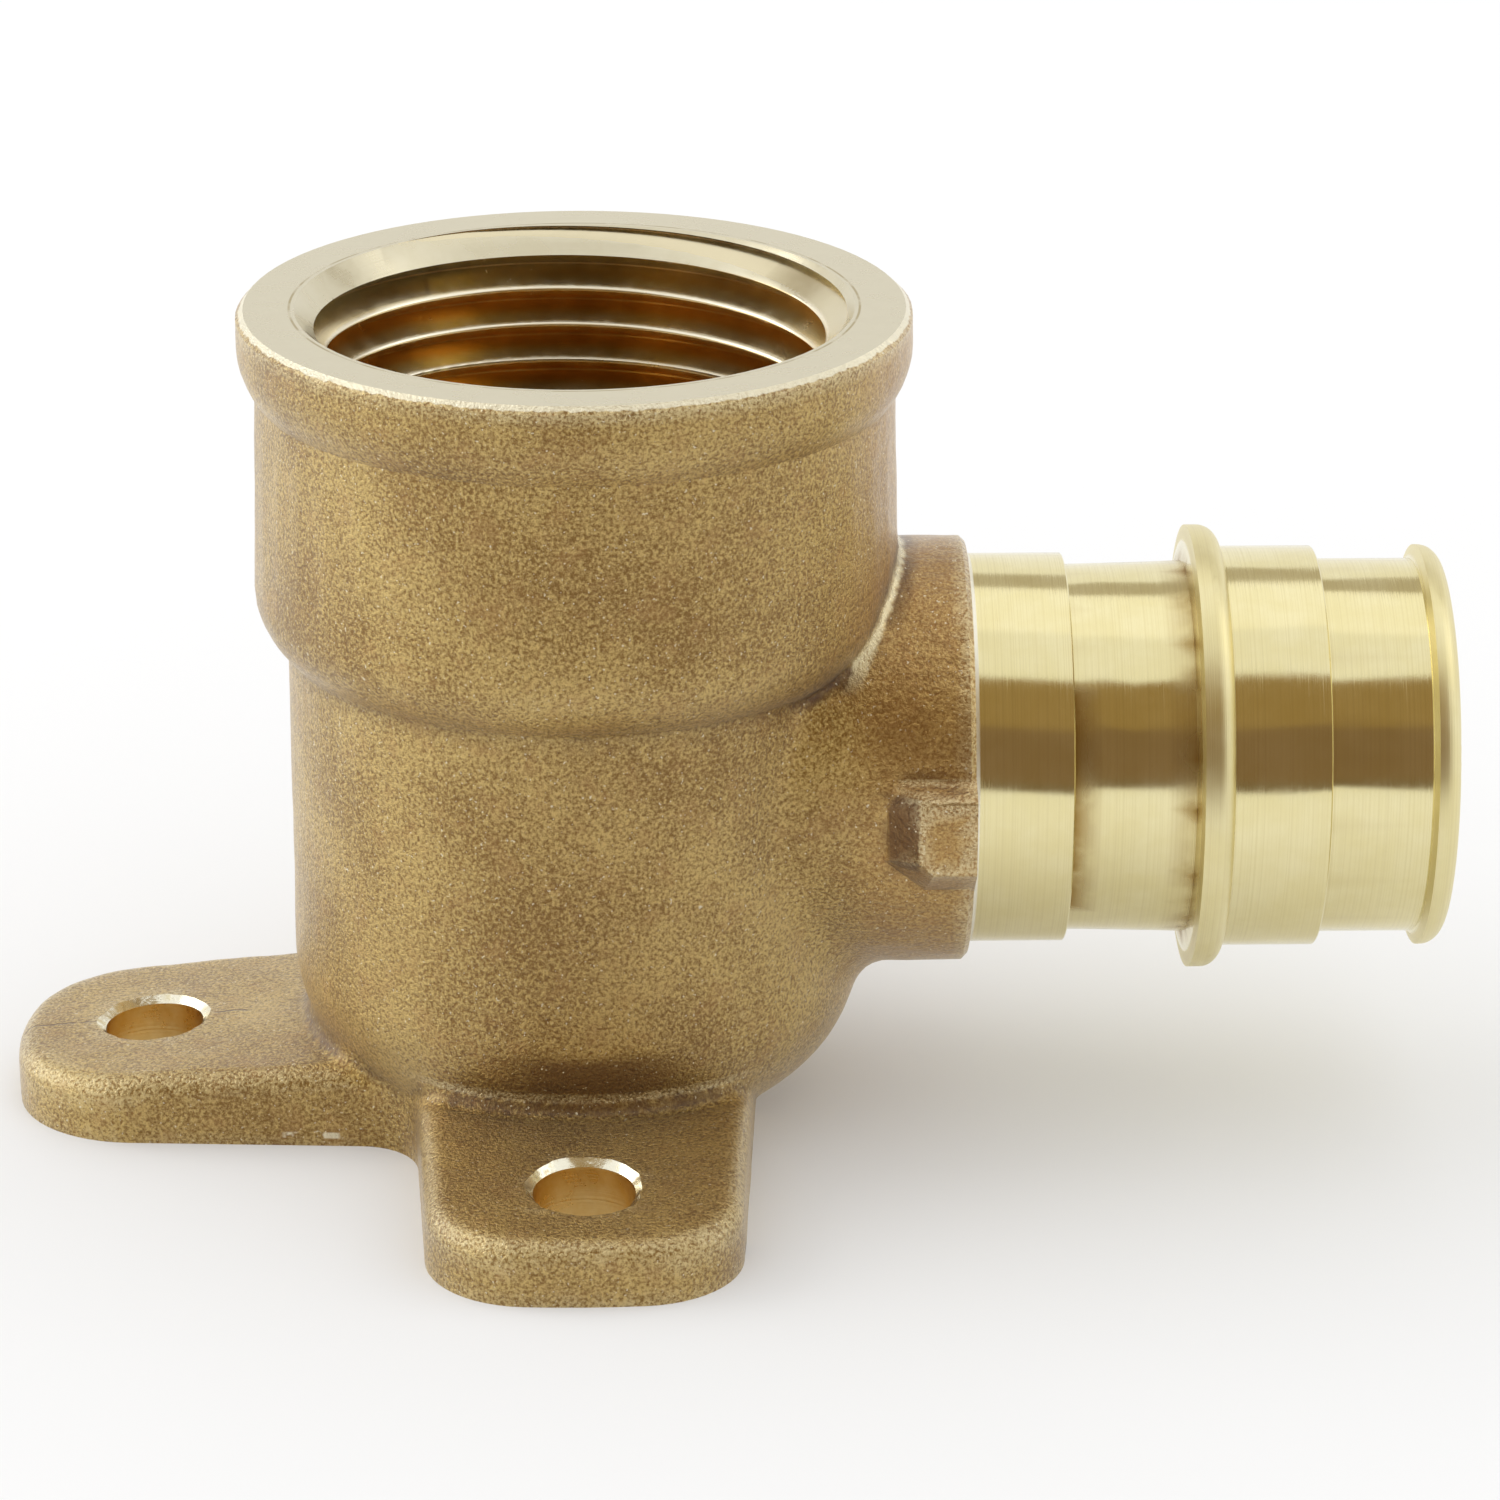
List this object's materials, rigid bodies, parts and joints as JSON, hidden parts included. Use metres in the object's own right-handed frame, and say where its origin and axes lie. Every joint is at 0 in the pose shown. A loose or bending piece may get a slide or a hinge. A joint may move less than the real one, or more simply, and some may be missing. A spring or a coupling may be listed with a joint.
{
  "type": "wall plate elbow",
  "caption": "Cast brass wall plate elbow with a female pipe-thread socket, a ribbed pipe spigot at right angles and screw ears on a flat base.",
  "frame": {"origin": "where the thread axis meets the wall plane under the ears", "axes": "+Z out of the wall along the thread axis, +X along the spigot, one ear towards -X and two along Y"},
  "size_m": [0.0694, 0.0512, 0.04],
  "materials": {
    "brass": "sand-cast skin, with a turned rim, thread and spigot"
  },
  "bodies": {
    "root": {"elbow_body": "brass"}
  },
  "joints": []
}
